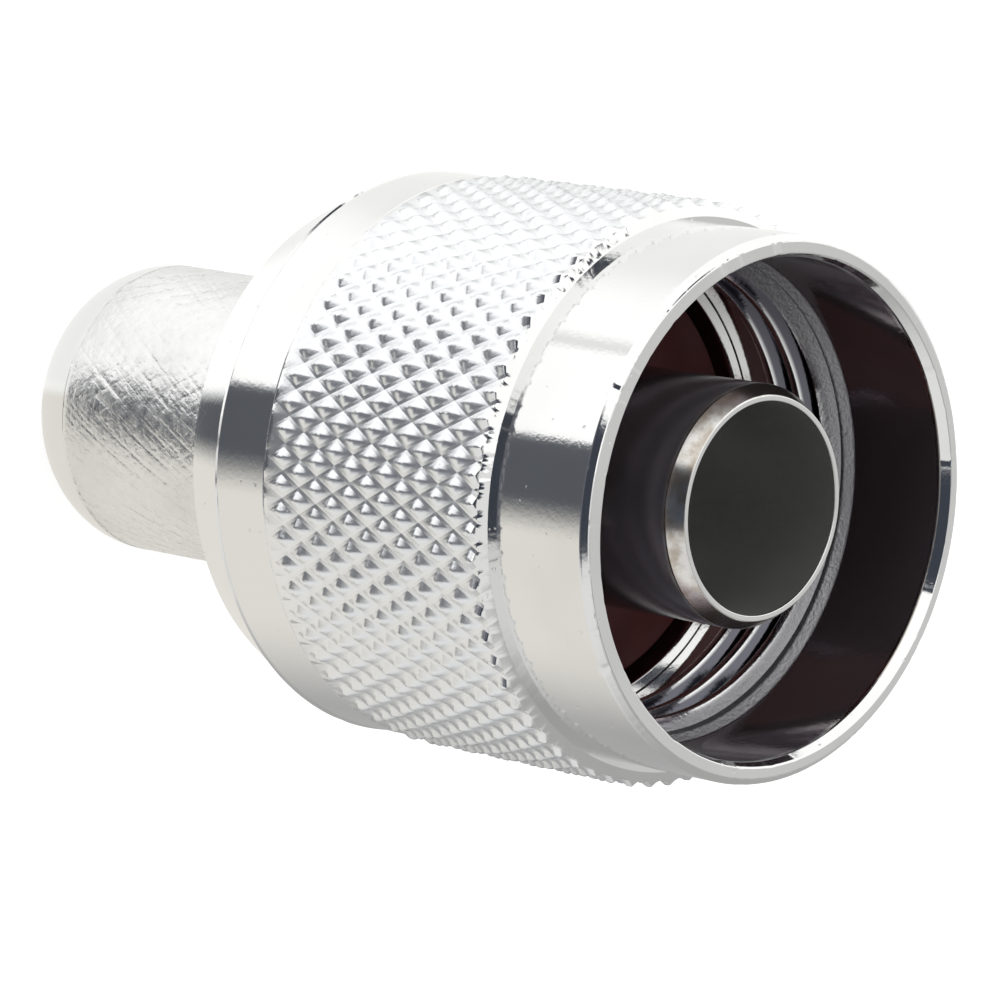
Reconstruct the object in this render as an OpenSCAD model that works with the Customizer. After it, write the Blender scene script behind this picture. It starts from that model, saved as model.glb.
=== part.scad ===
// Coaxial plug of the N series, crimp pattern: a knurled coupling nut that spins on a
// turned body. It stands on the end of its crimp tail, with the mouth of the nut up (+Z)
// and the origin at the middle of the tail's end face. Millimetres.
// Inside from_rim() the third axis is the depth behind the rim of the nut.

/* [Overall] */
// Length from the rim of the nut to the end of the crimp tail
overall_len = 31.2; // [29.5:0.1:34]

/* [Coupling nut outside] */
// Outer diameter of the flat rim
rim_d = 17.5; // [17.3:0.05:17.7]
// Diameter of the smooth front band
front_d = 17.9; // [17.85:0.05:18.3]
// Length of the small chamfer from the rim to the front band
rim_chamfer = 0.2; // [0.1:0.05:0.5]
// Length of the smooth front band, rim chamfer included
front_len = 4.1; // [3.5:0.1:5]
// Diameter of the smooth rear band
rear_band_d = 19.1; // [18.9:0.05:19.3]
// Length of the smooth rear band
rear_band_len = 2.3; // [1.5:0.1:3]
// Length of the cone behind the rear band
rear_cone_len = 2.2; // [1.5:0.1:3]
// Diameter at the rear end of the cone
rear_end_d = 17.2; // [16:0.1:18.5]

/* [Nut knurl] */
// Diameter over the points of the knurl
knurl_d = 19.4; // [19.3:0.05:19.8]
// Length of the knurled belt
knurl_len = 10; // [8.5:0.1:11]
// Diamonds round the belt
knurl_count = 66; // [48:2:72]
// Depth of the grooves between the diamonds
knurl_depth = 0.3; // [0.15:0.05:0.4]
// Angle of the grooves to the axis
knurl_angle = 30; // [25:1:40]
// Length of the chamfer at the front end of the belt
knurl_chamfer = 0.2; // [0.1:0.05:0.4]
// Diameter of the edge where the belt's chamfer starts
knurl_edge_d = 18.9; // [18.6:0.05:19]

/* [Coupling nut inside] */
// Diameter of the counterbore at the mouth
counterbore_d = 16.4; // [16.1:0.05:16.6]
// Depth of the counterbore
counterbore_depth = 4.05; // [3.3:0.05:4.5]
// Width of the chamfer at the counterbore's mouth, along the radius
mouth_chamfer = 0.1; // [0.05:0.01:0.2]
// Length of the chamfer at the counterbore's mouth
mouth_chamfer_len = 0.3; // [0.1:0.05:0.6]
// Length of the cone that leads into the thread
lead_in_len = 0.8; // [0.4:0.1:1.2]
// Minor diameter of the 5/8-24 UNEF thread
thread_minor_d = 15; // [14.9:0.05:15.2]
// Length of the thread
thread_len = 2.4; // [2:0.1:3.5]
// Diameter of the relief groove behind the thread
relief_d = 16; // [15.7:0.05:16.4]
// Length of the relief groove
relief_len = 1.4; // [0.8:0.1:2]
// Diameter of the chamber round the body's flange
chamber_d = 15.2; // [15.1:0.05:15.6]
// Chamfer at the rear mouth of the nut
rear_mouth_chamfer = 0.4; // [0.1:0.05:0.6]

/* [Connector body] */
// Diameter of the flange that the nut pulls on
flange_d = 14.7; // [14:0.05:14.75]
// Thickness of the flange
flange_len = 2.4; // [1.8:0.1:2.8]
// Diameter of the hub that the nut turns on
hub_d = 12.2; // [11.8:0.05:12.6]
// Depth of the hub's rear face inside the nut's rear end
hub_recess = 0.7; // [0.3:0.1:1]
// Chamfer round the hub's rear face
hub_chamfer = 0.3; // [0.1:0.05:0.5]

/* [Crimp tail] */
// Diameter over the tail's knurl and of its smooth end
tail_d = 10.2; // [9.8:0.05:10.6]
// Diameter of the tail's end face
tail_end_d = 8.8; // [8.4:0.05:9.4]
// Length of the rounded end
tail_round_len = 1.9; // [1.2:0.1:2.5]
// Bore for the cable's dielectric
cable_bore_d = 7.4; // [7:0.05:7.6]
// Chamfer at the bore's rear mouth
cable_bore_chamfer = 0.15; // [0.05:0.05:0.25]
// Diamonds round the tail
tail_knurl_count = 44; // [36:2:52]
// Depth of the tail's grooves
tail_knurl_depth = 0.1; // [0.05:0.01:0.15]

/* [Outer contact] */
// Diameter of the sleeve
sleeve_d = 8.03; // [7.8:0.01:8.2]
// Bore of the sleeve
sleeve_bore_d = 7; // [6.6:0.05:7.2]
// Distance of the sleeve's front behind the rim
sleeve_recess = 0.7; // [0.3:0.1:1.5]
// Chamfer round the sleeve's front
sleeve_chamfer = 0.3; // [0.1:0.05:0.35]
// Diameter of the thicker root inside the gasket
sleeve_root_d = 8.5; // [8.4:0.05:8.8]
// Diameter of the foot pressed into the body
foot_d = 11; // [10.4:0.1:11.6]
// Thickness of the foot
foot_len = 1.2; // [0.8:0.1:1.5]

/* [Insulator bead] */
// Diameter of the bead's shoulder in the body
bead_d = 8; // [7.8:0.05:8.3]
// Length of the bead's shoulder
bead_len = 2.5; // [2:0.1:3]
// Diameter of the bead's nose in the outer contact
bead_nose_d = 7.3; // [7.25:0.05:7.6]
// Length of the bead's nose ahead of its shoulder
bead_nose_len = 2.7; // [2:0.1:3.2]
// Hole for the centre contact
bead_hole_d = 3.1; // [2.8:0.05:3.4]

/* [Gasket] */
// Thickness of the gasket
gasket_len = 1.4; // [1:0.1:1.8]
// Outer diameter of the gasket
gasket_d = 14.6; // [13.8:0.1:14.8]
// Distance of the gasket's face behind the relief groove
gasket_recess = 0.45; // [0.2:0.05:0.8]

/* [Retaining ring] */
// Outer diameter of the split ring
ring_d = 13.2; // [13:0.05:13.4]
// Radial width of the ring
ring_width = 0.95; // [0.8:0.05:1.1]
// Thickness of the ring
ring_len = 0.8; // [0.6:0.05:1]
// Opening between the ring's ends, in degrees
ring_split = 30; // [15:1:60]
// Distance of the ring behind the nut's inner shoulder
ring_setback = 1.4; // [1:0.1:1.8]

/* [Clearances] */
// Radial clearance of the hub in the nut
running_gap = 0.06; // [0.03:0.01:0.09]
// Axial play of the nut on the body
axial_play = 0.1; // [0.05:0.01:0.12]
// Clearance of the ring in the nut's groove
ring_gap = 0.2; // [0.15:0.01:0.3]
// Clearance of pieces seated in one another
seat_gap = 0.02; // [0.01:0.01:0.04]

/* [Hidden] */
$fn = 96;

over = 1; // how far a cut runs past the face it opens

// Depths behind the rim
belt_front = front_len;
belt_back = belt_front + knurl_len;
cone_front = belt_back + rear_band_len;
nut_back = cone_front + rear_cone_len;
thread_front = counterbore_depth + lead_in_len;
relief_front = thread_front + thread_len;
chamber_front = relief_front + relief_len;
gasket_face = chamber_front + gasket_recess;
flange_front = gasket_face + gasket_len;
flange_back = flange_front + flange_len;
nut_shoulder = flange_back + axial_play;
ring_front = nut_shoulder + ring_setback;
ring_back = ring_front + ring_len;
hub_back = nut_back - hub_recess;
foot_back = flange_front + foot_len;
bead_front = foot_back - bead_nose_len;
bead_back = foot_back + bead_len;
tail_round_front = overall_len - tail_round_len;

// Radii that follow other pieces
core_r = knurl_edge_d / 2 - knurl_depth;
nut_groove_r = ring_d / 2 + ring_gap;
ring_bore_r = ring_d / 2 - ring_width;
tail_core_r = tail_d / 2 - tail_knurl_depth;

// Radius of an arc that leaves a cylinder smoothly and drops by `drop` over `len`
function arc_radius(len, drop) = (len * len + drop * drop) / (2 * drop);

// Half the length of a knurl's diamond along the axis
function half_diamond(d, count, angle) = PI * d / (2 * count * tan(angle));

// Draws children that use depth behind the rim as their third axis
module from_rim() translate([0, 0, overall_len]) mirror([0, 0, 1]) children();

// Solid of revolution of an outline given as [radius, depth] points
module turned(outline) rotate_extrude() polygon(outline);

// Cylindrical cut from one depth to another
module bored(d, front, back) translate([0, 0, front]) cylinder(d = d, h = back - front);

// Knurled belt: points and valleys alternate round each row and from row to row, and the
// rows at both ends are plain edges. Every cell folds along the valley between its points.
module diamond_belt(tip_d, depth, count, angle, front, back, lead, edge_front_d, edge_back_d) {
    step = half_diamond(tip_d, count, angle);
    inner_rows = floor((back - front - 2 * lead) / step);
    rows = concat([front], [for (k = [0 : inner_rows]) front + lead + k * step], [back]);
    last = len(rows) - 1;
    cols = 2 * count;

    function is_tip(i, k) = (i + k) % 2 == 1;
    function radius(i, k) =
        k == 0 ? edge_front_d / 2 :
        k == last ? edge_back_d / 2 :
        tip_d / 2 - (is_tip(i, k) ? 0 : depth);
    function at(i, k) = k * cols + i % cols;
    function folds_up(i, k) = k == last - 1 ? is_tip(i, k) : k == 0 ? is_tip(i + 1, k + 1) : !is_tip(i, k);

    points = [for (k = [0 : last], i = [0 : cols - 1])
        let (a = 360 * i / cols, r = radius(i, k)) [r * cos(a), r * sin(a), rows[k]]];
    cells = [for (k = [0 : last - 1], i = [0 : cols - 1]) each folds_up(i, k)
        ? [[at(i, k), at(i + 1, k + 1), at(i + 1, k)], [at(i, k), at(i, k + 1), at(i + 1, k + 1)]]
        : [[at(i, k), at(i, k + 1), at(i + 1, k)], [at(i + 1, k), at(i, k + 1), at(i + 1, k + 1)]]];
    caps = [[for (i = [0 : cols - 1]) at(i, 0)], [for (i = [cols - 1 : -1 : 0]) at(i, last)]];
    polyhedron(points, concat(cells, caps));
}

// The nut's outside without its knurl
module nut_blank() turned([
    [0, 0], [rim_d / 2, 0], [front_d / 2, rim_chamfer],
    [front_d / 2, belt_front], [core_r, belt_front],
    [core_r, belt_back], [rear_band_d / 2, belt_back],
    [rear_band_d / 2, cone_front], [rear_end_d / 2, nut_back], [0, nut_back]
]);

module nut_knurl() diamond_belt(
    tip_d = knurl_d, depth = knurl_depth, count = knurl_count, angle = knurl_angle,
    front = belt_front, back = belt_back, lead = knurl_chamfer,
    edge_front_d = knurl_edge_d, edge_back_d = rear_band_d - knurl_depth
);

// Everything that is bored out of the nut, as one revolve
module nut_cavity() {
    mouth_r = counterbore_d / 2;
    hub_bore_r = hub_d / 2 + running_gap;
    turned([
        [0, -over], [mouth_r + mouth_chamfer, -over], [mouth_r + mouth_chamfer, 0],
        [mouth_r, mouth_chamfer_len], [mouth_r, counterbore_depth],
        [thread_minor_d / 2, thread_front], [thread_minor_d / 2, relief_front],
        [relief_d / 2, relief_front], [relief_d / 2, chamber_front],
        [chamber_d / 2, chamber_front], [chamber_d / 2, nut_shoulder],
        [hub_bore_r, nut_shoulder], [hub_bore_r, nut_back - rear_mouth_chamfer],
        [hub_bore_r + rear_mouth_chamfer, nut_back],
        [hub_bore_r + rear_mouth_chamfer, nut_back + over], [0, nut_back + over]
    ]);
    bored(2 * nut_groove_r, ring_front - ring_gap, ring_back + ring_gap);
}

module coupling_nut() color("gainsboro") from_rim() difference() {
    union() {
        nut_blank();
        nut_knurl();
    }
    nut_cavity();
}

// Rounded end of the tail: the arc leaves the tail's side smoothly
module tail_end() rotate_extrude() intersection() {
    round_r = arc_radius(tail_round_len, (tail_d - tail_end_d) / 2);
    translate([0, tail_round_front]) square([tail_d / 2, tail_round_len]);
    translate([tail_d / 2 - round_r, tail_round_front]) circle(round_r, $fn = 180);
}

module tail_knurl() diamond_belt(
    tip_d = tail_d, depth = tail_knurl_depth, count = tail_knurl_count, angle = knurl_angle,
    front = hub_back, back = tail_round_front, lead = knurl_chamfer,
    edge_front_d = 2 * tail_core_r, edge_back_d = 2 * tail_core_r
);

module connector_body() color("silver") from_rim() difference() {
    union() {
        turned([
            [0, flange_front], [flange_d / 2, flange_front], [flange_d / 2, flange_back],
            [hub_d / 2, flange_back], [hub_d / 2, hub_back - hub_chamfer],
            [hub_d / 2 - hub_chamfer, hub_back], [0, hub_back]
        ]);
        tail_knurl();
        tail_end();
    }
    // seat of the outer contact's foot
    bored(foot_d + 2 * seat_gap, flange_front - over, foot_back);
    // seat of the bead's shoulder
    bored(bead_d + 2 * seat_gap, foot_back - over, bead_back);
    bored(cable_bore_d, bead_back - over, overall_len + over);
    // chamfer at the mouth of the cable bore
    translate([0, 0, overall_len - cable_bore_chamfer])
        cylinder(d1 = cable_bore_d, d2 = cable_bore_d + 2 * cable_bore_chamfer, h = cable_bore_chamfer);
    // groove of the retaining ring
    difference() {
        bored(hub_d + over, ring_front, ring_back + seat_gap);
        bored(2 * (ring_bore_r - seat_gap), ring_front - over, ring_back + over);
    }
}

module outer_contact() color("tan") from_rim() difference() {
    turned([
        [0, sleeve_recess], [sleeve_d / 2 - sleeve_chamfer, sleeve_recess],
        [sleeve_d / 2, sleeve_recess + sleeve_chamfer], [sleeve_d / 2, gasket_face],
        [sleeve_root_d / 2, gasket_face], [sleeve_root_d / 2, flange_front],
        [foot_d / 2, flange_front], [foot_d / 2, foot_back], [0, foot_back]
    ]);
    bored(sleeve_bore_d, sleeve_recess - over, foot_back + over);
    // pocket of the bead's nose
    bored(bead_nose_d + 2 * seat_gap, bead_front, foot_back + over);
}

module insulator_bead() color("white") from_rim() difference() {
    turned([
        [0, bead_front], [bead_nose_d / 2, bead_front],
        [bead_nose_d / 2, foot_back], [bead_d / 2, foot_back],
        [bead_d / 2, bead_back], [0, bead_back]
    ]);
    bored(bead_hole_d, bead_front - over, bead_back + over);
}

module gasket() color("darkred") from_rim() difference() {
    bored(gasket_d, gasket_face, flange_front);
    bored(sleeve_root_d + 2 * seat_gap, gasket_face - over, flange_front + over);
}

module retaining_ring() color("slategray") from_rim()
    rotate([0, 0, ring_split / 2]) rotate_extrude(angle = 360 - ring_split)
        translate([ring_bore_r, ring_front]) square([ring_width, ring_len]);

coupling_nut();
connector_body();
outer_contact();
insulator_bead();
gasket();
retaining_ring();
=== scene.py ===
import bpy, bmesh, math
from mathutils import Matrix, Vector, noise


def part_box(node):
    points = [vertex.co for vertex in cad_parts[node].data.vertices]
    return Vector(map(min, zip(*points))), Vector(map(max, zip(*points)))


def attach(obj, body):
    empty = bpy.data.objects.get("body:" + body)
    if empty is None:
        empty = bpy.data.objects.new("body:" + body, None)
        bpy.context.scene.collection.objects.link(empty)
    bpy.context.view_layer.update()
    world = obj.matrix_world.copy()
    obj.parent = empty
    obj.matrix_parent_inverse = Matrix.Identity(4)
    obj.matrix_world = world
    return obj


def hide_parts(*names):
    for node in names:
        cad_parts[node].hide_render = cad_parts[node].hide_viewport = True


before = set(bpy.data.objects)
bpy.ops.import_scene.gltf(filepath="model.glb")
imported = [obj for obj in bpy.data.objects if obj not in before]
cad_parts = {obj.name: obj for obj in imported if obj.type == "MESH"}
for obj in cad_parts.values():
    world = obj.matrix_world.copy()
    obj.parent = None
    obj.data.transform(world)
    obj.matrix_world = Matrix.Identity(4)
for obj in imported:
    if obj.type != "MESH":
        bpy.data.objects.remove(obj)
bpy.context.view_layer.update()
print("loaded the frame,", len(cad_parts), "nodes")

# pieces are drawn in mm, as radii and as depths behind the nut's rim
mm = 0.001
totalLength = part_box("coupling_nut")[1].z / mm  # height of the rim above the tail's end
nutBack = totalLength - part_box("coupling_nut")[0].z / mm
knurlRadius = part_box("coupling_nut")[1].x / mm
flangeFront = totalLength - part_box("connector_body")[1].z / mm
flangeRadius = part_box("connector_body")[1].x / mm
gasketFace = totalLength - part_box("gasket")[1].z / mm
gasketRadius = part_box("gasket")[1].x / mm
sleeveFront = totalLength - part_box("outer_contact")[1].z / mm
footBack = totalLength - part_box("outer_contact")[0].z / mm
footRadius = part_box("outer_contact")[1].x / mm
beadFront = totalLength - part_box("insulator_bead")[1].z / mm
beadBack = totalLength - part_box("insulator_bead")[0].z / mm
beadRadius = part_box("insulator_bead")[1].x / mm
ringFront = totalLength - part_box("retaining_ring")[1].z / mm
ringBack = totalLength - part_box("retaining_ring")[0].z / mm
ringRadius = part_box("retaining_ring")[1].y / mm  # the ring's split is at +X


def wholeMesh(bm):
    return bm.verts[:] + bm.edges[:] + bm.faces[:]


def setRadius(v, radius):
    v.co.xy = v.co.xy.normalized() * radius


def azimuth(co):
    # degrees round the axis, from 0 at -Y towards 90 at -X
    return math.degrees(math.atan2(-co.x, -co.y))


def grain(co, size, seed=0):
    # soft noise from -1 to 1 in patches of about size; each seed reads another place of it
    seedGap = 31.7
    return noise.noise(Vector((co.x, co.y, co.z + seed * seedGap)) / size)


def patchy(co, patches, seed):
    return patches["mean"] + patches["swing"] * grain(co, patches["size"], seed)


def turned(outline, steps):
    # outline: [radius, depth] points of a closed line, which gives a ring-shaped solid
    bm = bmesh.new()
    verts = [bm.verts.new((radius, 0, totalLength - depth)) for radius, depth in outline]
    edges = [bm.edges.new(pair) for pair in zip(verts, verts[1:] + verts[:1])]
    bmesh.ops.spin(bm, geom=verts + edges, cent=(0, 0, 0), axis=(0, 0, 1),
                   angle=math.tau, steps=steps, use_merge=True)
    bmesh.ops.remove_doubles(bm, verts=bm.verts, dist=1e-5)
    return bm


def runsRound(edge, maxRise, maxChange):
    # whether an edge runs round the axis
    a, b = edge.verts
    return abs(a.co.z - b.co.z) < maxRise and abs(a.co.xy.length - b.co.xy.length) < maxChange


def roundRings(bm, width, segments=2, leave=(0, 0)):
    # rounds the sharp edges that run round the axis, but for the depths in leave
    sharpAngle = math.radians(12)

    def isSharp(edge):
        if leave[0] < totalLength - edge.verts[0].co.z < leave[1]:
            return False
        return (len(edge.link_faces) == 2 and runsRound(edge, 1e-4, 1e-3)
                and edge.calc_face_angle(0) > sharpAngle)

    bmesh.ops.bevel(bm, geom=[e for e in bm.edges if isSharp(e)], offset=width, offset_type="OFFSET",
                    segments=segments, profile=0.5, affect="EDGES", material=-1)


def creaseByAngle(bm, angle=35, ringAngle=None):
    # ringAngle: a tighter limit for the edges that run round the axis
    for edge in bm.edges:
        isRing = ringAngle and runsRound(edge, 0.02, 0.02)
        limit = math.radians(ringAngle if isRing else angle)
        edge.smooth = len(edge.link_faces) == 2 and edge.calc_face_angle(0) < limit


def joinInto(bm, other):
    mesh = bpy.data.meshes.new("part")
    bmesh.ops.recalc_face_normals(other, faces=other.faces)
    other.to_mesh(mesh)
    other.free()
    bm.from_mesh(mesh)
    bpy.data.meshes.remove(mesh)


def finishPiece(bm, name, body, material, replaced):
    bmesh.ops.recalc_face_normals(bm, faces=bm.faces)
    bmesh.ops.scale(bm, vec=(mm, mm, mm), verts=bm.verts)
    for face in bm.faces:
        face.smooth = True
    mesh = bpy.data.meshes.new(name)
    bm.to_mesh(mesh)
    bm.free()
    piece = bpy.data.objects.new(name, mesh)
    bpy.context.scene.collection.objects.link(piece)
    mesh.materials.append(material)
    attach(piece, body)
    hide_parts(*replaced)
    print("made", name, len(mesh.polygons), "faces")


class Wire:
    # a socket; arithmetic on it adds Math nodes
    def __init__(self, shader, socket):
        self.shader = shader
        self.socket = socket

    def __add__(self, other):
        return self.shader.math("ADD", self, other)

    def __radd__(self, other):
        return self.shader.math("ADD", other, self)

    def __sub__(self, other):
        return self.shader.math("SUBTRACT", self, other)

    def __rsub__(self, other):
        return self.shader.math("SUBTRACT", other, self)

    def __mul__(self, other):
        return self.shader.math("MULTIPLY", self, other)

    def __rmul__(self, other):
        return self.shader.math("MULTIPLY", other, self)

    def __truediv__(self, other):
        return self.shader.math("DIVIDE", self, other)

    def __pow__(self, other):
        return self.shader.math("POWER", self, other)


class Shader:
    def __init__(self, tree, outputKind="ShaderNodeOutputMaterial"):
        self.tree = tree
        self.tree.nodes.clear()
        self.out = self.tree.nodes.new(outputKind)

    def node(self, kind, settings=None, inputs=None, output=0):
        # inputs: values or wires, in order or by the socket's name or number
        made = self.tree.nodes.new(kind)
        for key, value in (settings or {}).items():
            setattr(made, key, value)
        for key, value in inputs.items() if isinstance(inputs, dict) else enumerate(inputs or []):
            socket = made.inputs[key]
            if isinstance(value, Wire):
                self.tree.links.new(value.socket, socket)
            else:
                socket.default_value = (*value, 1) if socket.type == "RGBA" else value
        return Wire(self, made.outputs[output])

    def surface(self, wire):
        self.tree.links.new(wire.socket, self.out.inputs["Surface"])

    def math(self, operation, *values):
        return self.node("ShaderNodeMath", {"operation": operation}, values)

    def place(self):
        return self.node("ShaderNodeTexCoord", output="Object")

    def axes(self, vector):
        split = self.node("ShaderNodeSeparateXYZ", inputs=[vector]).socket.node
        return [Wire(self, socket) for socket in split.outputs]

    def turn(self, x, y):
        # angle round the axis in radians, from 0 at -Y towards -X
        return self.math("ARCTAN2", -1 * x, -1 * y)

    def noise(self, vector, scale, detail=2, roughness=0.5):
        return self.node("ShaderNodeTexNoise", inputs={
            "Vector": vector, "Scale": scale, "Detail": detail, "Roughness": roughness})

    def step(self, value, low, high):
        # 0 below low, 1 above high, smooth between
        return self.node("ShaderNodeMapRange", {"interpolation_type": "SMOOTHSTEP"},
                         {"Value": value, "From Min": low, "From Max": high})

    def band(self, value, rise, fall):
        # 1 between the rise and the fall, each given by where its slope starts and ends
        return self.step(value, *rise) * (1 - self.step(value, *fall))

    def colourMix(self, factor, first, second):
        return self.node("ShaderNodeMix", {"data_type": "RGBA"}, {0: factor, 6: first, 7: second}, output=2)

    def bump(self, height, strength):
        return self.node("ShaderNodeBump", inputs={
            "Strength": strength, "Distance": 0.02 * mm, "Height": height})

    def principled(self, **inputs):
        return self.node("ShaderNodeBsdfPrincipled",
                         inputs={key.replace("_", " "): value for key, value in inputs.items()})


def newMaterial(name):
    material = bpy.data.materials.new(name)
    material.use_nodes = True
    return material, Shader(material.node_tree)


# bright nickel of the nut, with a softer knurl painted lighter against the shade between its facets;
# inside, painted shade darkens the wall, the rough lead-in cone and the thread's valleys
nutFinish = {
    # the belt colour is painted light: the knurl is made lighter against the shade between its facets
    "colour": (0.87, 0.87, 0.86), "dull": (0.74, 0.735, 0.72), "belt": (0.92, 0.93, 0.94),
    # painted shade: the wall, the thread valleys and the lead-in cone are darker than the plating
    "wallShade": (0.40, 0.35, 0.38), "valley": (0.05, 0.05, 0.075), "leadIn": (0.42, 0.42, 0.43),
    "dullShare": 0.3, "valleyShare": 0.9, "film": 0.05,
    "roughness": 0.09, "cloudRough": 0.1, "pitRough": 0.3, "leadInRough": 0.4, "beltRough": 0.24,
    "bump": 0.25, "gritRelief": 0.12, "leadInGrit": 5, "beltGrit": 1.2,
    "rippleRelief": 0.5, "leadInRipple": 4, "pitRelief": 1.2, "leadInShare": 0.75, "leadInMottle": 0.5,
    "cloudScale": 220, "rippleScale": 4500, "gritScale": 9000, "pitScale": 3800,
    "cloudRange": (0.45, 0.75), "pitRange": (0.74, 0.8)}

# where each finish lies, in mm
nutZones = {
    "insideRadius": (8.215, 8.225),
    "wallDepth": ((0.4, 0.5), (4.03, 4.06)),
    "leadInDepth": ((4.03, 4.06), (4.7, 4.9)),
    "valleyDepth": ((4.6, 4.9), (7.2, 7.3)), "valleyRadius": (7.52, 7.66),
    "beltDepth": ((4.3, 4.5), (13.9, 14.1)), "beltRadius": (8.97, 9.0)}


def nickelPlate():
    material, s = newMaterial("nickelPlate")
    look, zone = nutFinish, nutZones
    place = s.place()
    x, y, z = s.axes(place)
    radius = (x * x + y * y) ** 0.5 / mm
    depth = totalLength - z / mm
    cloud = s.noise(place, look["cloudScale"], detail=3)
    ripple = s.noise(place, look["rippleScale"])
    grit = s.noise(place, look["gritScale"], detail=3, roughness=0.6)
    inside = 1 - s.step(radius, *zone["insideRadius"])
    pits = s.step(s.noise(place, look["pitScale"], detail=1), *look["pitRange"]) * (1 - inside)
    # the counterbore's wall is darkened with painted shade
    wallShade = inside * s.band(depth, *zone["wallDepth"])
    # the lead-in cone is rough and grainy, and its darker colour is painted shade
    leadIn = inside * s.band(depth, *zone["leadInDepth"])
    # painted shade darkens the thread's valleys
    valley = inside * s.band(depth, *zone["valleyDepth"]) * s.step(radius, *zone["valleyRadius"])
    onBelt = s.band(depth, *zone["beltDepth"]) * s.step(radius, *zone["beltRadius"])
    dull = s.step(cloud, *look["cloudRange"]) * look["dullShare"]
    colour = s.colourMix(dull, look["colour"], look["dull"])
    # the knurl's lighter colour is painted light against the shade between its facets
    colour = s.colourMix(onBelt, colour, look["belt"])
    colour = s.colourMix(wallShade, colour, look["wallShade"])
    colour = s.colourMix(valley * look["valleyShare"], colour, look["valley"])
    onLeadIn = leadIn * (look["leadInShare"] + grit * look["leadInMottle"])
    colour = s.colourMix(onLeadIn, colour, look["leadIn"])
    rough = look["roughness"] + (cloud - 0.5) * look["cloudRough"] + pits * look["pitRough"]
    rough = rough + leadIn * look["leadInRough"] + onBelt * look["beltRough"]
    # fine grit and a slow ripple, both strongest on the lead-in cone
    gritty = look["gritRelief"] + leadIn * look["leadInGrit"] + onBelt * look["beltGrit"]
    rippled = look["rippleRelief"] + leadIn * look["leadInRipple"]
    relief = (grit - 0.5) * gritty + (ripple - 0.5) * rippled - pits * look["pitRelief"]
    s.surface(s.principled(Base_Color=colour, Metallic=1 - wallShade * look["film"], Roughness=rough,
                           Normal=s.bump(relief, look["bump"])))
    return material


tailFinish = {
    "colour": (0.87, 0.87, 0.86), "dull": (0.66, 0.66, 0.65), "dullShare": 0.35, "bump": 0.4,
    "roughness": 0.13, "cloudRough": 0.08, "wornRough": 0.22, "sparkRough": 0.5,
    "cloudScale": 300, "cloudRange": (0.4, 0.7), "gritScale": 7000, "sparkScale": 3200,
    "scratchAngle": 30, "scratchScale": (320, 5200),
    "gritRelief": 0.3, "sparkRelief": 6.5, "scratchRelief": 3.5,
    "knurlHeight": ((1.95, 2.1), (13.2, 13.3)), "knurlRadius": (5.11, 5.2)}  # the last two in mm


def knurledTailPlate(tailRadius):
    material, s = newMaterial("knurledTailPlate")
    look = tailFinish
    place = s.place()
    x, y, z = s.axes(place)
    radius = (x * x + y * y) ** 0.5 / mm
    onKnurl = s.band(z / mm, *look["knurlHeight"]) * (1 - s.step(radius, *look["knurlRadius"]))
    cloud = s.noise(place, look["cloudScale"], detail=3)
    grit = s.noise(place, look["gritScale"], detail=3, roughness=0.6)
    spark = s.noise(place, look["sparkScale"], roughness=0.6)
    # long scratches that run with the right-hand grooves
    lean = math.radians(look["scratchAngle"])
    across = s.turn(x, y) * (tailRadius * mm)
    along = z * math.cos(lean) - across * math.sin(lean)
    beside = z * math.sin(lean) + across * math.cos(lean)
    alongScale, besideScale = look["scratchScale"]
    scratch = s.noise(s.node("ShaderNodeCombineXYZ", inputs=[along * alongScale, beside * besideScale]), 1)
    dull = s.step(cloud, *look["cloudRange"]) * onKnurl * look["dullShare"]
    colour = s.colourMix(dull, look["colour"], look["dull"])
    rough = look["roughness"] + (cloud - 0.5) * look["cloudRough"]
    rough = rough + onKnurl * (look["wornRough"] + (spark - 0.5) * look["sparkRough"])
    worn = spark * look["sparkRelief"] + (scratch - 0.5) * look["scratchRelief"]
    relief = (grit - 0.5) * (look["gritRelief"] + onKnurl) + onKnurl * worn
    s.surface(s.principled(Base_Color=colour, Metallic=1.0, Roughness=rough,
                           Normal=s.bump(relief, look["bump"])))
    return material


# tanned on the sleeve's tapered end; painted shade darkens it further down and in the bore
contactFinish = {
    "colour": (0.85, 0.85, 0.83), "tan": (0.50, 0.44, 0.37), "shade": (0.22, 0.20, 0.22),
    "bore": (0.30, 0.30, 0.29), "film": 0.15, "bump": 0.2,
    "roughness": 0.12, "cloudRough": 0.1, "boreRough": 0.25, "leastTan": 0.2,
    "cloudScale": 1300, "cloudRange": (0.35, 0.65),
    # in mm: radii, and depths behind the sleeve's own rim
    "outsideRadius": (3.66, 3.70), "shadeDepth": (0.52, 0.75),
    "boreRadius": (3.53, 3.56), "boreDepth": (0.05, 0.1)}


def tarnishAndShadePlate():
    material, s = newMaterial("tarnishAndShadePlate")
    look = contactFinish
    place = s.place()
    x, y, z = s.axes(place)
    radius = (x * x + y * y) ** 0.5 / mm
    depth = totalLength - sleeveFront - z / mm
    cloud = s.noise(place, look["cloudScale"], detail=3, roughness=0.6)
    outside = s.step(radius, *look["outsideRadius"])
    # painted shade: the barrel below the taper and the bore are darkened
    shade = outside * s.step(depth, *look["shadeDepth"])
    bore = (1 - s.step(radius, *look["boreRadius"])) * s.step(depth, *look["boreDepth"])
    tan = outside * (look["leastTan"] + s.step(cloud, *look["cloudRange"]) * (1 - look["leastTan"]))
    colour = s.colourMix(tan, look["colour"], look["tan"])
    colour = s.colourMix(shade, colour, look["shade"])
    colour = s.colourMix(bore, colour, look["bore"])
    rough = look["roughness"] + cloud * look["cloudRough"] + bore * look["boreRough"]
    s.surface(s.principled(Base_Color=colour, Metallic=1 - (shade + bore) * look["film"], Roughness=rough,
                           Normal=s.bump((cloud - 0.5) * outside, look["bump"])))
    return material


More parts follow.
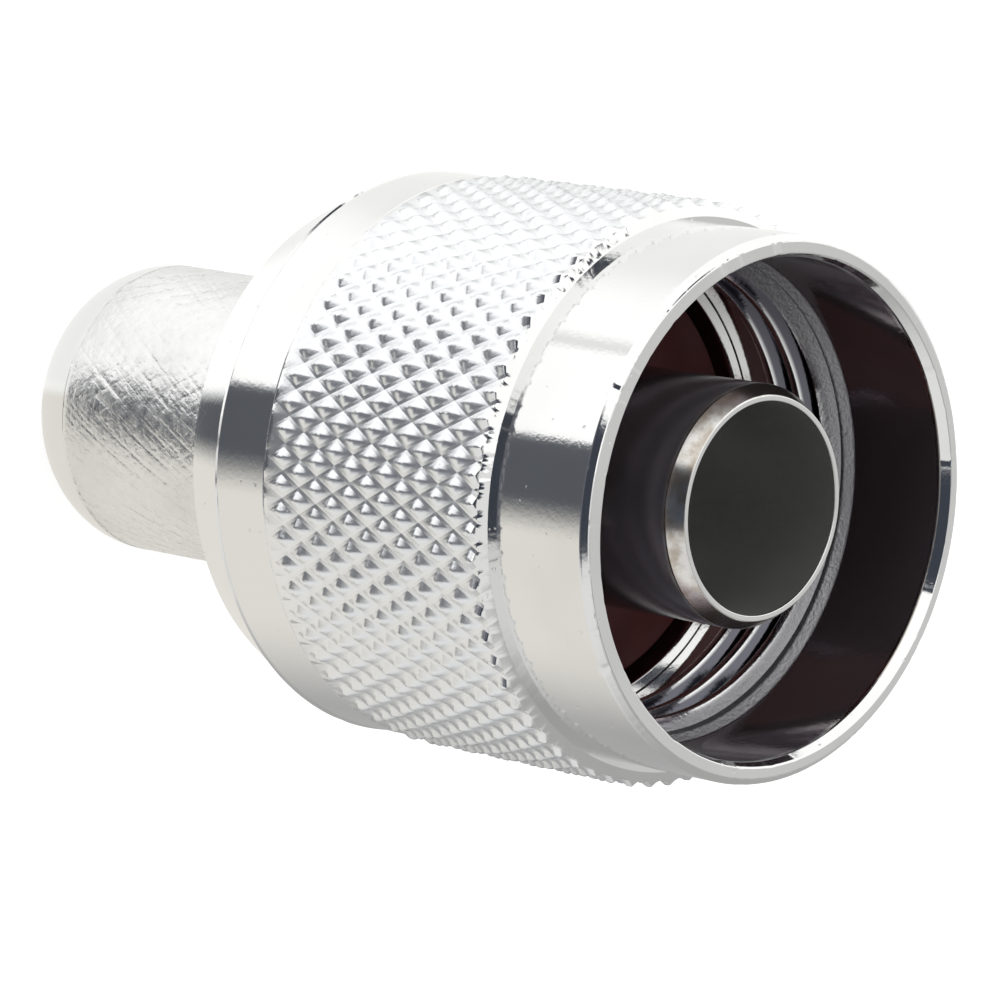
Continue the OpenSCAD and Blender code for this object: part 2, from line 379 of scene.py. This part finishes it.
mottledFinishes = {
    "whiteFluoropolymer": {"first": (0.74, 0.74, 0.72), "second": (0.84, 0.84, 0.82),
                           "roughness": 0.5, "metallic": 0.0},
    "redSilicone": {"first": (0.055, 0.008, 0.009), "second": (0.11, 0.015, 0.014),
                    "roughness": 0.45, "metallic": 0.0},
    "springMetal": {"first": (0.5, 0.5, 0.5), "second": (0.6, 0.6, 0.6),
                    "roughness": 0.3, "metallic": 1.0}}


def mottled(name):
    look, cloudScale, cloudRough = mottledFinishes[name], 900, 0.1
    material, s = newMaterial(name)
    cloud = s.noise(s.place(), cloudScale, detail=3)
    colour = s.colourMix(cloud, look["first"], look["second"])
    s.surface(s.principled(Base_Color=colour, Metallic=look["metallic"],
                           Roughness=look["roughness"] + cloud * cloudRough))
    return material


# radii and depths of the nut's own outline
nut = {
    "rim": 8.75, "rimInside": 8.34, "rimChamfer": 0.2, "mouthChamfer": 0.3,
    "front": 8.95, "stopRings": (0.4, 0.45),  # these keep the nicks out of the front band
    "beltFront": 4.1, "beltInside": 8.85, "beltBack": 14.1, "rear": 9.55, "coneFront": 16.4, "coneEnd": 8.6,
    "burr": 0.06, "burrFront": 0.036, "burrUndercut": 0.024, "burrZone": 0.2,
    "counterbore": 8.2, "counterboreDepth": 4.05, "leadInEnd": 4.85,
    "threadMinor": 7.5, "threadMajor": 7.94, "reliefFront": 7.25, "relief": 8.0,
    "chamberFront": 8.65, "chamber": 7.6, "shoulder": 13.0,
    "hubBore": 6.16, "ringGroove": 6.8, "ringRoom": 0.2, "rearMouth": 0.4, "rounding": 0.045, "steps": 720}

leadInSlope = (nut["counterbore"] - nut["threadMinor"]) / (nut["leadInEnd"] - nut["counterboreDepth"])


def leadInDepth(radius):
    return nut["counterboreDepth"] + (nut["counterbore"] - radius) / leadInSlope


def leadInRadius(depth):
    return nut["counterbore"] - (depth - nut["counterboreDepth"]) * leadInSlope


def nutCore():
    n = nut
    grooveFront, grooveBack = ringFront - n["ringRoom"], ringBack + n["ringRoom"]
    outside = [
        (n["rimInside"], 0), (n["rim"], 0), (n["front"], n["rimChamfer"]),
        (n["front"], n["stopRings"][0]), (n["front"], n["stopRings"][1]),
        (n["front"], n["beltBack"]), (n["rear"], n["beltBack"]),
        (n["rear"], n["coneFront"] - n["burrFront"]), (n["rear"] + n["burr"], n["coneFront"]),
        (n["rear"] - n["burrUndercut"], n["coneFront"] + n["burr"]), (n["coneEnd"], nutBack)]
    bore = [
        (n["hubBore"] + n["rearMouth"], nutBack), (n["hubBore"], nutBack - n["rearMouth"]),
        (n["hubBore"], grooveBack), (n["ringGroove"], grooveBack),
        (n["ringGroove"], grooveFront), (n["hubBore"], grooveFront),
        (n["hubBore"], n["shoulder"]), (n["chamber"], n["shoulder"]),
        (n["chamber"], n["chamberFront"]), (n["relief"], n["chamberFront"]),
        (n["relief"], n["reliefFront"]), (n["threadMajor"], n["reliefFront"]),
        (n["threadMajor"], leadInDepth(n["threadMajor"])), (n["counterbore"], n["counterboreDepth"]),
        (n["counterbore"], n["mouthChamfer"])]
    bm = turned(outside + bore, n["steps"])
    roundRings(bm, n["rounding"], leave=(n["coneFront"] - n["burrZone"], n["coneFront"] + n["burrZone"]))
    return bm


# small breaks in the rim's outer chamfer, a countersink off centre and a ragged burr before the cone
nicks = {
    "size": 0.45, "fineSize": 0.15, "fineShare": 0.5, "deep": 0.09, "least": 0.28, "most": 0.22,
    "from": -45, "to": 80, "quietShare": 0.3,  # strong between these degrees round the axis
    "zoneDepth": 0.35, "zoneRadius": 8.65, "wave": 0.012, "waveSize": 1.2,
    "mouthDepth": 0.12, "mouthWidth": 0.1, "mouthSize": 0.5, "mouthLeast": 0.2, "mouthDeep": 0.08,
    "offCentre": 0.1, "burrWear": 0.5, "burrSize": 0.9, "burrMargin": 0.02}


def nickRim(bm):
    k = nicks
    for v in bm.verts:
        radius, depth = v.co.xy.length, totalLength - v.co.z
        spot = Vector((v.co.x, v.co.y, 0))
        if depth < k["zoneDepth"] and radius > k["zoneRadius"]:
            strong = 1.0 if k["from"] < azimuth(v.co) < k["to"] else k["quietShare"]
            chip = grain(spot, k["size"], 3) + k["fineShare"] * grain(spot, k["fineSize"], 4)
            chip = min(max(0, chip - k["least"]), k["most"]) * k["deep"] * strong
            setRadius(v, radius - chip)
            v.co.z -= chip + k["wave"] * max(0, grain(spot, k["waveSize"], 9))
        elif depth < k["mouthDepth"] and radius < nut["rimInside"] + k["mouthWidth"]:
            chip = max(0, grain(spot, k["mouthSize"], 5) - k["mouthLeast"]) * k["mouthDeep"]
            v.co.y += k["offCentre"]
            setRadius(v, v.co.xy.length + chip)
        elif radius > nut["rear"] + k["burrMargin"]:
            setRadius(v, radius - nut["burr"] * k["burrWear"] * max(0, grain(spot, k["burrSize"], 11)))


# each ring is an inset of a diamond's outline and its rise; turn is in degrees, the rest in mm
knurl = {
    "count": 66, "angle": 30, "lead": 0.42, "turn": 0.78, "sideParts": 1, "valley": 9.46,
    "rings": [(0.11, 0.04), (0.19, 0.16), (0.05, 0.033), (0.03, 0.007)],
    "edge": 9.15, "strip": 0.15, "edgeSlope": 2.1, "edgeLines": 4, "backEdge": 9.53, "backFade": 0.35,
    "backTrim": 0.05, "tipGap": 0.002, "wear": 0.05, "wearAbove": 0.1, "wearSize": 0.5, "fineWear": 0.35,
    "fineSize": 0.25, "slipSize": 0.4}


def rowStep(tipRadius, pattern):
    return math.pi * tipRadius / pattern["count"] / math.tan(math.radians(pattern["angle"]))


def diamondTile(tipRadius, pattern):
    half = math.pi * tipRadius / pattern["count"]
    step = rowStep(tipRadius, pattern)
    tile = bmesh.new()
    corners = [Vector(p) for p in ((half, 0, 0), (0, step, 0), (-half, 0, 0), (0, -step, 0))]
    parts = pattern["sideParts"]
    outline = [tile.verts.new(a.lerp(b, i / parts))
               for a, b in zip(corners, corners[1:] + corners[:1]) for i in range(parts)]
    top = [tile.faces.new(outline)]
    tile.normal_update()
    for edge in tile.edges:
        edge.smooth = False
    for width, rise in pattern["rings"]:
        bmesh.ops.inset_region(tile, faces=top, thickness=width, depth=rise, use_boundary=True,
                               use_even_offset=True)
    bmesh.ops.poke(tile, faces=top)
    for v in tile.verts:
        turn = v.co.x / tipRadius
        radius = pattern["valley"] + v.co.z
        v.co = Vector((radius * math.cos(turn), radius * math.sin(turn), v.co.y))
    return tile


def diamondBelt(tipRadius, front, back, pattern):
    # one row of diamonds is spun from a single tile, and the row is copied along the axis
    count, step = pattern["count"], rowStep(tipRadius, pattern)
    tile = diamondTile(tipRadius, pattern)
    bmesh.ops.spin(tile, geom=wholeMesh(tile), cent=(0, 0, 0), axis=(0, 0, 1),
                   angle=math.tau * (count - 1) / count, steps=count - 1, use_duplicate=True)
    row = bpy.data.meshes.new("row")
    tile.to_mesh(row)
    tile.free()
    belt = bmesh.new()
    for index in range(-1, int((back - front) / step) + 2):
        start = len(belt.verts)
        belt.from_mesh(row)
        fresh = belt.verts[start:]
        turn = math.pi / count * (index % 2) + math.radians(pattern["turn"])
        bmesh.ops.rotate(belt, cent=(0, 0, 0), verts=fresh, matrix=Matrix.Rotation(turn, 3, "Z"))
        bmesh.ops.translate(belt, verts=fresh,
                            vec=(0, 0, totalLength - front - pattern["lead"] - index * step))
    bpy.data.meshes.remove(row)
    bmesh.ops.remove_doubles(belt, verts=belt.verts, dist=0.004)
    return belt


def cutBelt(belt, front, back, extraLines):
    # trims both ends, and draws a line of edges at each extra depth
    for depth, side in [(front, 1), (back, -1)] + [(line, 0) for line in extraLines]:
        bmesh.ops.bisect_plane(belt, geom=wholeMesh(belt), dist=1e-4, plane_co=(0, 0, totalLength - depth),
                               plane_no=(0, 0, side or 1), clear_outer=side != 0)


def closeBelt(belt, insideRadius):
    # skirts at both ends go into the core, and are joined there
    rims = [e for e in belt.edges if len(e.link_faces) == 1]
    made = bmesh.ops.extrude_edge_only(belt, edges=rims)["geom"]
    for v in [item for item in made if isinstance(item, bmesh.types.BMVert)]:
        setRadius(v, insideRadius)
    innerRims = [e for e in belt.edges if len(e.link_faces) == 1]
    for e in rims + innerRims:
        e.smooth = False
    bmesh.ops.bridge_loops(belt, edges=innerRims)


def wearNutBelt(belt):
    # uneven tips, a turned chamfer at the front and a run-out into the rear band
    k = knurl
    for v in belt.verts:
        radius = v.co.xy.length
        toFront = totalLength - nut["beltFront"] - v.co.z
        toBack = v.co.z - totalLength + nut["beltBack"]
        high = (radius - k["valley"]) / (knurlRadius - k["valley"])
        if high > k["wearAbove"]:
            uneven = grain(v.co, k["wearSize"]) + k["fineWear"] * grain(v.co, k["fineSize"], 1)
            radius += k["wear"] * high * uneven
            v.co.z += k["wear"] * high * grain(v.co, k["slipSize"], 2)
        chamfer = k["edge"] + toFront * k["edgeSlope"]
        radius = chamfer if toFront < k["strip"] + 1e-4 else min(radius, chamfer)
        if toBack < k["backFade"]:
            radius = k["backEdge"] + (radius - k["backEdge"]) * max(0, toBack) / k["backFade"]
        setRadius(v, min(radius, knurlRadius - k["tipGap"]))


def nutBelt():
    stripEnd = nut["beltFront"] + knurl["strip"]
    chamferEnd = nut["beltFront"] + (knurlRadius - knurl["edge"]) / knurl["edgeSlope"]
    lines = [stripEnd + (chamferEnd - stripEnd) * i / knurl["edgeLines"]
             for i in range(knurl["edgeLines"] + 1)]
    belt = diamondBelt(knurlRadius, nut["beltFront"], nut["beltBack"], knurl)
    cutBelt(belt, nut["beltFront"], nut["beltBack"] + knurl["backTrim"], lines)
    wearNutBelt(belt)
    closeBelt(belt, nut["beltInside"])
    return belt


# right-handed: the ridge climbs towards the mouth as it turns from +X to +Y
thread = {
    "pitch": 25.4 / 24, "flank": 30, "crestHalf": 0.13, "rounding": 0.03, "roundingSlope": 0.6,
    "root": 8.12, "turns": 5, "turnsBehind": 3, "crestDepth": 4.84, "crestAngle": 90,
    "overlap": 0.03, "sink": 0.015, "steps": 180}


def threadRidge():
    t, minor = thread, nut["threadMinor"]
    crest, soft = t["crestHalf"], t["rounding"]
    rootHalf = crest + (t["root"] - minor) * math.tan(math.radians(t["flank"]))
    shoulder = crest + soft * t["roundingSlope"]
    outline = [(t["root"], rootHalf), (minor + soft, shoulder), (minor, crest - soft),
               (minor, soft - crest), (minor + soft, -shoulder), (t["root"], -rootHalf)]
    startHeight = totalLength - t["crestDepth"] - t["turnsBehind"] * t["pitch"]
    ridge = bmesh.new()
    verts = [ridge.verts.new((radius, 0, startHeight + height)) for radius, height in outline]
    edges = [ridge.edges.new(pair) for pair in zip(verts, verts[1:] + verts[:1])]
    bmesh.ops.rotate(ridge, cent=(0, 0, 0), verts=verts,
                     matrix=Matrix.Rotation(math.radians(t["crestAngle"]), 3, "Z"))
    bmesh.ops.spin(ridge, geom=verts + edges, cent=(0, 0, 0), axis=(0, 0, 1),
                   dvec=(0, 0, t["pitch"] / t["steps"]), angle=math.tau * t["turns"],
                   steps=t["steps"] * t["turns"])
    for depth, side in ((nut["reliefFront"], -1), (leadInDepth(t["root"] - t["overlap"]), 1)):
        cut = bmesh.ops.bisect_plane(ridge, geom=wholeMesh(ridge), dist=1e-5,
                                     plane_co=(0, 0, totalLength - depth), plane_no=(0, 0, side),
                                     clear_outer=True)["geom_cut"]
        if side == 1:
            for v in ridge.verts:  # the ridge starts flush with the lead-in cone
                cone = leadInRadius(totalLength - v.co.z) + t["sink"]
                if v.co.xy.length < cone:
                    setRadius(v, cone)
        bmesh.ops.triangle_fill(ridge, edges=[item for item in cut if isinstance(item, bmesh.types.BMEdge)])
    creaseByAngle(ridge, angle=40)
    return ridge


nickel = nickelPlate()
core = nutCore()
nickRim(core)
creaseByAngle(core, angle=50, ringAngle=6)
print("turned the nut")
joinInto(core, nutBelt())
print("knurled the nut")
joinInto(core, threadRidge())
print("cut the nut's thread")
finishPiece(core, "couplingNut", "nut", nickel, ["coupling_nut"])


plugBody = {
    "tail": 5.1, "tailCore": 4.95, "end": 4.4, "roundLength": 1.9, "roundSteps": 8,
    "flangeBack": 12.9, "hub": 6.1, "hubRecess": 0.7, "hubChamfer": 0.3, "ringGroove": 0.97,
    "cableBore": 3.7, "boreChamfer": 0.15, "seatGap": 0.02, "steps": 240}

# the right-hand grooves are strong and the left-hand ones nearly worn off
tailKnurl = {
    "count": 44, "angle": 30, "lead": 0.3, "turn": 0, "sideParts": 2, "valley": 5.04,
    "rings": [(0.03, 0.03), (0.06, 0.02), (0.08, 0.008)],
    "end": 29.28, "frontTrim": 0.02, "backTrim": 0.03, "endFade": 0.1, "endSink": 0.006, "inside": 4.88,
    "grooveWidth": 0.2, "strong": 0.026, "weak": 0.003, "bruise": 0.016,
    "strongPatches": {"mean": 0.6, "swing": 1.3, "size": 1.6},
    "weakPatches": {"mean": 0.8, "swing": 1.6, "size": 1.1},
    "bruisePatches": {"mean": 0.5, "swing": 1, "size": 0.5}, "fineBruise": 0.5, "fineSize": 0.2}

hubBack = nutBack - plugBody["hubRecess"]


def connectorBody():
    b = plugBody
    roundFront = totalLength - b["roundLength"]
    drop = b["tail"] - b["end"]
    arc = (b["roundLength"] ** 2 + drop ** 2) / (2 * drop)
    rounding = []
    for i in range(1, b["roundSteps"] + 1):
        along = b["roundLength"] * i / b["roundSteps"]
        rounding.append((b["tail"] - arc + math.sqrt(arc ** 2 - along ** 2), roundFront + along))
    grooveFloor = ringRadius - b["ringGroove"]
    grooveBack = ringBack + b["seatGap"]
    footSeat, beadSeat = footRadius + b["seatGap"], beadRadius + b["seatGap"]
    bm = turned([
        (footSeat, flangeFront), (flangeRadius, flangeFront), (flangeRadius, b["flangeBack"]),
        (b["hub"], b["flangeBack"]), (b["hub"], ringFront), (grooveFloor, ringFront),
        (grooveFloor, grooveBack), (b["hub"], grooveBack), (b["hub"], hubBack - b["hubChamfer"]),
        (b["hub"] - b["hubChamfer"], hubBack), (b["tailCore"], hubBack), (b["tailCore"], tailKnurl["end"]),
        (b["tail"], tailKnurl["end"]), (b["tail"], roundFront), *rounding,
        (b["cableBore"] + b["boreChamfer"], totalLength), (b["cableBore"], totalLength - b["boreChamfer"]),
        (b["cableBore"], beadBack), (beadSeat, beadBack), (beadSeat, footBack), (footSeat, footBack),
    ], b["steps"])
    creaseByAngle(bm)
    return bm


def tailBelt():
    k, tail = tailKnurl, plugBody["tail"]
    belt = diamondBelt(tail, hubBack, k["end"], k)
    cutBelt(belt, hubBack + k["frontTrim"], k["end"] + k["backTrim"], [k["end"] - k["endFade"]])
    step = rowStep(tail, k)
    topRow = totalLength - hubBack - k["lead"]
    for v in belt.verts:
        along = (v.co.z - topRow) / step
        around = (math.atan2(v.co.y, v.co.x) - math.radians(k["turn"])) * k["count"] / math.pi
        rising = abs((around - along) % 2 - 1)  # 0 in a right-hand groove, 1 between two
        falling = abs((around + along) % 2 - 1)
        strongCut = max(0, 1 - rising / k["grooveWidth"]) * patchy(v.co, k["strongPatches"], 6)
        weakCut = max(0, 1 - falling / k["grooveWidth"]) * patchy(v.co, k["weakPatches"], 7)
        bruised = patchy(v.co, k["bruisePatches"], 8) + k["fineBruise"] * grain(v.co, k["fineSize"], 12)
        depth = k["strong"] * strongCut + k["weak"] * weakCut + k["bruise"] * bruised
        toEnd = (v.co.z - totalLength + k["end"]) / k["endFade"]
        if toEnd < 1:
            depth = max(depth * max(0, toEnd), k["endSink"])
        setRadius(v, tail - max(0, depth))
    for e in belt.edges:
        e.smooth = True
    closeBelt(belt, k["inside"])
    return belt


plug = connectorBody()
print("turned the body")
joinInto(plug, tailBelt())
print("knurled the tail")
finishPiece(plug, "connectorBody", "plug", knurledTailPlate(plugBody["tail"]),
            ["connector_body"])


sleeve = {
    "radius": 4.015, "bore": 3.5, "chamfer": 0.33, "taper": 0.55, "root": 4.25, "pocket": 3.67,
    "rounding": 0.03, "steps": 240}


def outerContact():
    bm = turned([
        (sleeve["bore"], sleeveFront), (sleeve["radius"] - sleeve["chamfer"], sleeveFront),
        (sleeve["radius"], sleeveFront + sleeve["taper"]), (sleeve["radius"], gasketFace),
        (sleeve["root"], gasketFace), (sleeve["root"], flangeFront), (footRadius, flangeFront),
        (footRadius, footBack), (sleeve["pocket"], footBack), (sleeve["pocket"], beadFront),
        (sleeve["bore"], beadFront),
    ], sleeve["steps"])
    roundRings(bm, sleeve["rounding"])
    creaseByAngle(bm, ringAngle=6)
    return bm


bead = {"nose": 3.65, "hole": 1.55, "rounding": 0.05, "steps": 160}


def insulatorBead():
    bm = turned([
        (bead["hole"], beadFront), (bead["nose"], beadFront), (bead["nose"], footBack),
        (beadRadius, footBack), (beadRadius, beadBack), (bead["hole"], beadBack),
    ], bead["steps"])
    roundRings(bm, bead["rounding"])
    creaseByAngle(bm, ringAngle=6)
    return bm


gasket = {"inner": 4.27, "rounding": 0.12, "steps": 200}


def gasketRing():
    bm = turned([
        (gasket["inner"], gasketFace), (gasketRadius, gasketFace),
        (gasketRadius, flangeFront), (gasket["inner"], flangeFront),
    ], gasket["steps"])
    roundRings(bm, gasket["rounding"], segments=3)
    creaseByAngle(bm, angle=30)
    return bm


splitRing = {"thickness": 0.95, "split": 30, "steps": 120}  # split in degrees


def retainingRing():
    bm = bmesh.new()
    inner = ringRadius - splitRing["thickness"]
    corners = ((inner, ringFront), (ringRadius, ringFront), (ringRadius, ringBack), (inner, ringBack))
    verts = [bm.verts.new((radius, 0, totalLength - depth)) for radius, depth in corners]
    face = bm.faces.new(verts)
    bmesh.ops.rotate(bm, cent=(0, 0, 0), verts=verts,
                     matrix=Matrix.Rotation(math.radians(splitRing["split"] / 2), 3, "Z"))
    bmesh.ops.spin(bm, geom=[face, *face.edges, *verts], cent=(0, 0, 0), axis=(0, 0, 1),
                   angle=math.radians(360 - splitRing["split"]), steps=splitRing["steps"])
    creaseByAngle(bm)
    return bm


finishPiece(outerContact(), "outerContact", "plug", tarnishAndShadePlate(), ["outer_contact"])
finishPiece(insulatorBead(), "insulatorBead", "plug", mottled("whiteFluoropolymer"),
            ["insulator_bead"])
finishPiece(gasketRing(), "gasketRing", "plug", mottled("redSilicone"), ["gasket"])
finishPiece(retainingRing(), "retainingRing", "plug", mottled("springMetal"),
            ["retaining_ring"])


studio = {
    # tones that polished metal mirrors
    "white": (1.18, 1.18, 1.18), "side": (0.96, 0.96, 0.95), "pale": (0.81, 0.81, 0.81),
    "warm": (0.81, 0.79, 0.74), "back": (0.62, 0.62, 0.62), "low": (0.42, 0.42, 0.42),
    "slate": (0.100, 0.107, 0.123), "dusk": (0.13, 0.135, 0.16), "dark": (0.045, 0.052, 0.070),
    # light for everything else
    "sky": (0.8, 0.8, 0.8), "floorShade": (0.45, 0.45, 0.45), "floorGlow": 0.72,
    # where the tones change, in degrees round the axis: 0 towards -Y, 90 towards -X
    "front": (-5, 5), "sideFrom": (66, 98), "lowFrom": (65, 118), "backFrom": (150, 175)}


def surroundings(s, around, near=0, beside=1):
    # near: share of the tones that lie close by; beside: share of the low tone towards +X
    right = -1 * around
    bright = s.colourMix(s.step(around, *studio["sideFrom"]) * near, studio["white"], studio["side"])
    warm = s.colourMix(near, studio["pale"], studio["warm"])
    warm = s.colourMix(s.step(right, *studio["lowFrom"]) * beside, warm, studio["low"])
    tone = s.colourMix(s.step(around, *studio["front"]), warm, bright)
    behind = s.step(around, *studio["backFrom"]) + s.step(right, *studio["backFrom"])
    return s.colourMix(behind, tone, studio["back"])


# marks that only polished metal mirrors, in mm and degrees
floorMarks = {
    "size": 3000, "near": (45, 55), "beside": (12, 18), "foot": (6.2, 8.2), "far": (55, 75),
    # a grey strip from near the object towards -Y, wider further out
    "stripFrom": (6.4, 7.8), "stripLean": (-0.47, -0.17), "stripEdge": 0.7, "stripWiden": 0.23,
    "stripSoft": (0.6, 0.8), "close": ((9.7, 10.8), (13, 19)), "closeEdge": 1.2, "closeLean": 0.25,
    "wedge": ((-34, -24), (21, 29)),
    "seam": ((47, 50), (51, 56)), "seamFrom": (29, 33), "seamShare": 0.3}


def studioFloor():
    material, s = newMaterial("studioFloor")
    mark = floorMarks
    x, y, z = s.axes(s.place())
    side, out = x / -mm, y / -mm
    radius = (side * side + out * out) ** 0.5
    around = s.turn(x, y) * (180 / math.pi)
    close = s.band(out, *mark["close"])
    edge = mark["stripWiden"] * out - mark["stripEdge"] - mark["closeEdge"] * close
    lean = side / out + close * mark["closeLean"]
    softIn, softOut = mark["stripSoft"]
    strip = s.step(lean, *mark["stripLean"]) * (1 - s.step(side, edge - softIn, edge + softOut))
    strip = strip * s.step(out, *mark["stripFrom"])
    wedge = s.band(around, *mark["wedge"])
    far = s.step(radius, *mark["far"])
    tone = surroundings(s, around, 1 - s.step(radius, *mark["near"]), s.step(radius, *mark["beside"]))
    # painted shadow: close round the object's foot the floor mirrors the dimmer side tone
    foot = (1 - s.step(radius, *mark["foot"])) * s.step(around, *studio["front"])
    tone = s.colourMix(foot, tone, studio["side"])
    seam = s.band(around, *mark["seam"]) * s.step(radius, *mark["seamFrom"]) * (1 - far)
    tone = s.colourMix(seam * mark["seamShare"], tone, studio["slate"])
    tone = s.colourMix(strip * (1 - far), tone, studio["slate"])
    tone = s.colourMix(wedge * far, tone, studio["dusk"])
    # mirrored rays see the tones, the camera a white floor, and the rest a matt one
    mirrored = s.node("ShaderNodeEmission", inputs={"Color": tone, "Strength": 1.0})
    glow = s.node("ShaderNodeEmission", inputs={"Color": (1, 1, 1), "Strength": studio["floorGlow"]})
    matt = s.principled(Base_Color=studio["floorShade"], Roughness=0.9, Specular_IOR_Level=0.0)
    camera = s.node("ShaderNodeLightPath", output="Is Camera Ray")
    glossy = s.node("ShaderNodeLightPath", output="Is Glossy Ray")
    seen = s.node("ShaderNodeMixShader", inputs={0: camera, 2: glow})
    plain = s.node("ShaderNodeAddShader", inputs=[matt, seen])
    s.surface(s.node("ShaderNodeMixShader", inputs=[glossy, plain, mirrored]))
    return material


def makeFloor():
    bm = bmesh.new()
    bmesh.ops.create_grid(bm, x_segments=1, y_segments=1, size=floorMarks["size"] * mm)
    mesh = bpy.data.meshes.new("floor")
    bm.to_mesh(mesh)
    bm.free()
    floor = bpy.data.objects.new("floor", mesh)
    bpy.context.scene.collection.objects.link(floor)
    mesh.materials.append(studioFloor())
    print("laid the floor")


# a dark wedge above the floor's, which spreads upwards, and a dark upright towards -X that only
# the step in front of the knurl mirrors; heights are those of a direction's unit vector
skyMarks = {
    "wedgeFrom": (-26, -14), "wedgeSpread": (12, 16), "spreadHeight": (0.1, 0.3), "wedgeTo": (21, 28),
    "wedgeTop": (0.8, 0.9), "darker": (0.15, 0.35),
    "upright": ((88, 93), (106, 112)), "uprightHeight": ((0.6, 0.66), (0.74, 0.8))}


def makeWorld():
    world = bpy.data.worlds.new("studio")
    world.use_nodes = True
    s = Shader(world.node_tree, "ShaderNodeOutputWorld")
    mark = skyMarks
    x, y, z = s.axes(s.node("ShaderNodeTexCoord", output="Generated"))
    around = s.turn(x, y) * (180 / math.pi)
    upward = s.step(z, *mark["spreadHeight"])
    start, end = [mark["wedgeFrom"][i] - upward * mark["wedgeSpread"][i] for i in range(2)]
    wedge = s.band(around, (start, end), mark["wedgeTo"]) * (1 - s.step(z, *mark["wedgeTop"]))
    upright = s.band(around, *mark["upright"]) * s.band(z, *mark["uprightHeight"])
    shade = s.colourMix(s.step(z, *mark["darker"]), studio["dusk"], studio["dark"])
    tone = s.colourMix(s.math("MAXIMUM", wedge, upright), surroundings(s, around), shade)
    plain = s.colourMix(s.node("ShaderNodeLightPath", output="Is Camera Ray"), studio["sky"], (1, 1, 1))
    seen = s.colourMix(s.node("ShaderNodeLightPath", output="Is Glossy Ray"), plain, tone)
    s.surface(s.node("ShaderNodeBackground", inputs={"Color": seen, "Strength": 1.0}))
    bpy.context.scene.world = world
    print("set the surroundings")


# square lamps, in metres and watts
lamps = {
    "keyLamp": {"place": (-0.30, -0.05, 0.22), "size": 0.25, "power": 0.8},
    "fillLamp": {"place": (0.25, -0.20, 0.25), "size": 0.2, "power": 0.15}}


def makeLamps():
    aim = Vector((0, 0, 0.015))
    for name, look in lamps.items():
        data = bpy.data.lights.new(name, "AREA")
        data.size = look["size"]
        data.energy = look["power"]
        lamp = bpy.data.objects.new(name, data)
        lamp.location = look["place"]
        lamp.rotation_euler = (aim - Vector(look["place"])).to_track_quat("-Z", "Y").to_euler()
        lamp.visible_glossy = False
        bpy.context.scene.collection.objects.link(lamp)
    print("hung the lamps")


# aim, distance, lens and sensor in mm, angles in degrees, clip in metres
view = {
    "aim": (1.193, 0, 18.773), "elevation": 44.21, "roll": 99.94, "distance": 205.39, "lens": 219.92,
    "sensor": 36, "clip": (0.01, 10)}


def makeCamera():
    data = bpy.data.cameras.new("camera")
    data.lens = view["lens"]
    data.sensor_width = view["sensor"]
    data.clip_start, data.clip_end = view["clip"]
    camera = bpy.data.objects.new("camera", data)
    up = math.radians(view["elevation"])
    back = Vector((0, -math.cos(up), math.sin(up)))
    camera.location = (Vector(view["aim"]) + back * view["distance"]) * mm
    roll = Matrix.Rotation(math.radians(view["roll"]), 3, "Z")
    camera.rotation_euler = ((-back).to_track_quat("-Z", "Y").to_matrix() @ roll).to_euler()
    bpy.context.scene.collection.objects.link(camera)
    bpy.context.scene.camera = camera
    print("placed the camera")


makeFloor()
makeWorld()
makeLamps()
makeCamera()
bpy.context.scene.view_settings.view_transform = "Standard"
